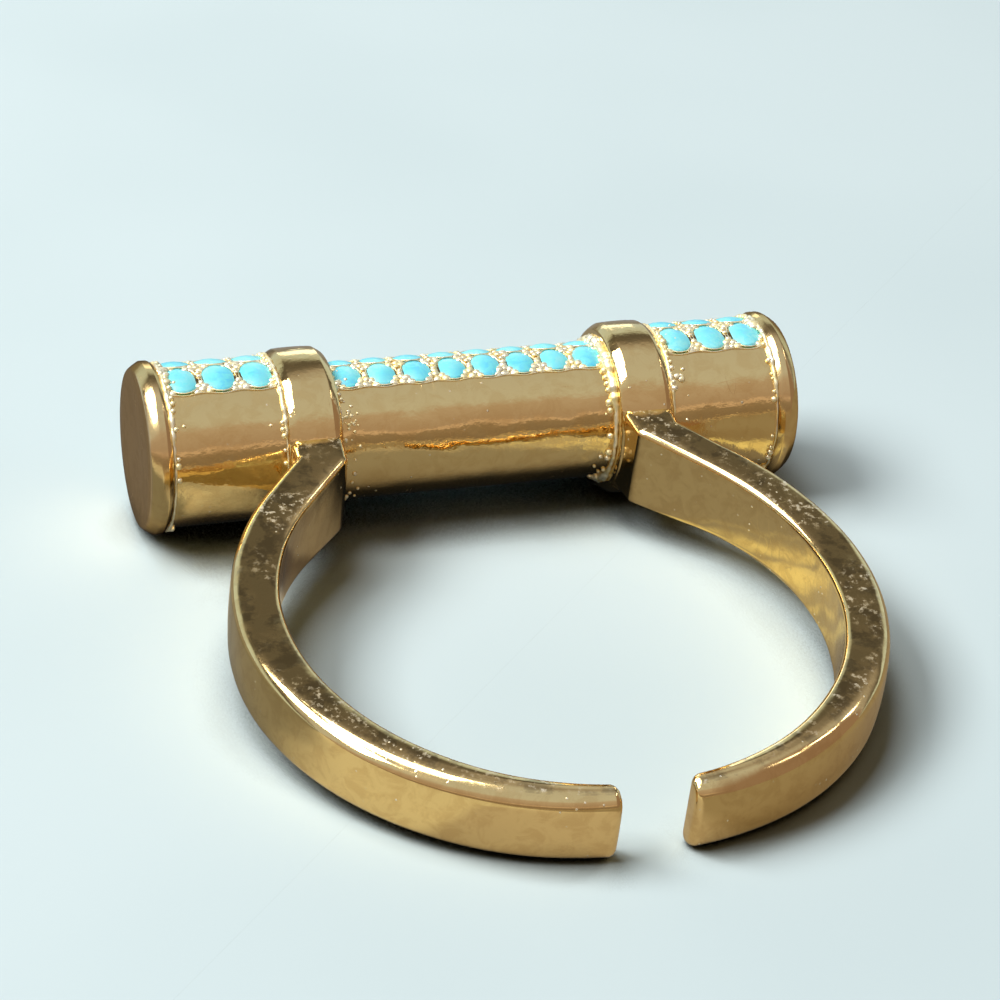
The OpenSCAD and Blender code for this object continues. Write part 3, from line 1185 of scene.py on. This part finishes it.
def makeMirroredTone(tree, place):
    split = splitNode(tree, place)
    stretched = mapNode(tree, place, floor["streakTurn"], floor["streakStretch"])
    values = {
        "X": split["X"],
        "Y": split["Y"],
        "outwards": mathNode(tree, "SUBTRACT", split["X"], product(tree, split["Y"], floor["outwards"])),
        "streaks": noiseNode(tree, stretched, 1.0, detail=1.0, twist=floor["streakTwist"]),
    }
    tones = floor["mirroredAlong"]
    first, last = tones[0][0], tones[-1][0]
    along = rangeNode(tree, split["Y"], first, last, 0.0, 1.0, False)
    tone = makeRamp(tree, along, [((at - first) / (last - first), tone) for at, tone in tones])
    for zoneTone, *limits in floor["mirroredZones"].values():
        masks = [rangeNode(tree, values[name], low, high) for name, low, high in limits]
        tone = mixColour(tree, product(tree, *masks), tone, zoneTone)
    return tone


def makeFloor():
    bm = bmesh.new()
    bmesh.ops.create_grid(bm, x_segments=1, y_segments=1, size=floor["size"])
    mesh = meshFrom(bm, "floor")
    material, tree, shader, place = startMaterial("paleFloor")
    cloud = rangeNode(tree, noiseNode(tree, place, floor["cloudScale"]), *floor["cloudLimits"])
    near = newNode(tree, "AmbientOcclusion", {"Distance": floor["contact"]},
                   samples=floor["contactSamples"]).outputs["AO"]
    plain = mixColour(tree, cloud, floor["colour"], floor["shade"])
    # The floor's colour is darkened close to the metal: painted contact shade.
    dark = tuple(floor["contactShadeTone"] * part for part in floor["colour"])
    fillInputs(tree, shader, {
        "Base Color": mixColour(tree, rangeNode(tree, near, *floor["contactLimits"]), dark, plain),
        "Roughness": floor["rough"],
        "Specular IOR Level": 0.0,
    })
    # The painted reflection is darkened close to the metal as well, as painted shade.
    mirroredClear = rangeNode(tree, near, *floor["mirroredContact"])
    mirrored = mixColour(tree, mirroredClear, dark, makeMirroredTone(tree, place))
    # This glow is the painted reflection that rays from the metal see; it is no lamp.
    glow = newNode(tree, "Emission", {"Color": mirrored}).outputs[0]
    seen = tree.nodes.new("ShaderNodeLightPath").outputs["Is Glossy Ray"]
    share = product(tree, seen, floor["mirroredShare"])
    mix = newNode(tree, "MixShader", {0: share, 1: shader.outputs[0], 2: glow})
    fillInputs(tree, tree.nodes["Material Output"], {"Surface": mix.outputs[0]})
    mesh.materials.append(material)
    item = addObject("floor", mesh)


makeFloor()

# Soft studio light, in metres and watts. Each light looks at the ring from its direction, and
# the ones marked glint show in the metal but don't light the floor or the stones.
lights = {
    "key": {"way": (-0.64, 0.14, 0.755), "size": (0.36, 0.20), "power": 2.7, "glint": False},
    "overhead": {"way": (-0.22, 0.20, 0.955), "size": (0.20, 0.18), "power": 0.9, "glint": False},
    "backSoftbox": {"way": (0.10, 0.96, 0.26), "size": (0.24, 0.10), "power": 0.09, "glint": False},
    "lampOne": {"way": (0.63, -0.03, 0.78), "size": (0.02, 0.05), "power": 0.03, "glint": True},
    "lampTwo": {"way": (0.70, 0.08, 0.71), "size": (0.02, 0.05), "power": 0.03, "glint": True},
    "lampThree": {"way": (0.76, 0.18, 0.62), "size": (0.03, 0.05), "power": 0.04, "glint": True},
}
studio = {
    "distance": 0.5,
    "aim": (0, 0, 0.003),
    "colour": (1.0, 0.985, 0.96),
}


def makeLights():
    for name, values in lights.items():
        data = bpy.data.lights.new(name, "AREA")
        data.shape = "RECTANGLE"
        data.size, data.size_y = values["size"]
        data.energy = values["power"]
        data.color = studio["colour"]
        item = addObject(name, data)
        item.visible_diffuse = not values["glint"]
        spot = Vector(values["way"]).normalized() * studio["distance"]
        aim = (Vector(studio["aim"]) - spot).to_track_quat("-Z", "Y")
        item.matrix_world = Matrix.Translation(spot) @ aim.to_matrix().to_4x4()


# The room's tone from the front horizon (0) over the top (0.5) to the back horizon (1)
room = {
    "tones": (
        (0.0, (0.75, 0.60, 0.40)), (0.012, (0.24, 0.19, 0.15)), (0.09, (0.30, 0.24, 0.19)),
        (0.112, (0.66, 0.52, 0.46)), (0.135, (0.42, 0.34, 0.31)), (0.27, (0.49, 0.43, 0.42)),
        (0.32, (0.55, 0.59, 0.66)), (0.59, (0.52, 0.56, 0.64)), (0.66, (0.38, 0.37, 0.39)),
        (0.70, (0.18, 0.17, 0.17)), (0.74, (0.12, 0.115, 0.11)), (0.778, (0.12, 0.115, 0.11)),
        (0.80, (0.38, 0.44, 0.46)), (0.825, (0.58, 0.70, 0.80)), (0.95, (0.60, 0.76, 0.90)),
        (0.98, (0.40, 0.43, 0.43)), (1.0, (0.12, 0.12, 0.12)),
    ),
    "warmSide": (0.30, 0.22, 0.19),      # tone at the right, from the front horizon to the top
    "warmFrom": (0.42, 0.6),  # how far to the right it fades in, and where past the top it ends
    "warmTurn": (0.62, 0.54),
    "fill": 0.03,             # share of it that lights the floor and the stones
}


def makeRoom():
    world = bpy.data.worlds.new("room")
    bpy.context.scene.world = world
    world.use_nodes = True
    tree = world.node_tree
    split = splitNode(tree, tree.nodes.new("ShaderNodeTexCoord").outputs["Generated"])
    front = product(tree, split["Y"], -1.0)
    turn = mathNode(tree, "DIVIDE", mathNode(tree, "ARCTAN2", split["Z"], front), math.pi)
    warm = product(tree, rangeNode(tree, split["X"], *room["warmFrom"]),
                   rangeNode(tree, turn, *room["warmTurn"]))
    tone = mixColour(tree, warm, makeRamp(tree, turn, room["tones"]), room["warmSide"])
    ray = tree.nodes.new("ShaderNodeLightPath").outputs["Is Diffuse Ray"]
    strength = rangeNode(tree, ray, 0, 1, 1.0, room["fill"], False)
    fillInputs(tree, tree.nodes["Background"], {"Color": tone, "Strength": strength})


makeLights()
makeRoom()
bpy.context.scene.view_settings.view_transform = "Standard"
print("stage lit")
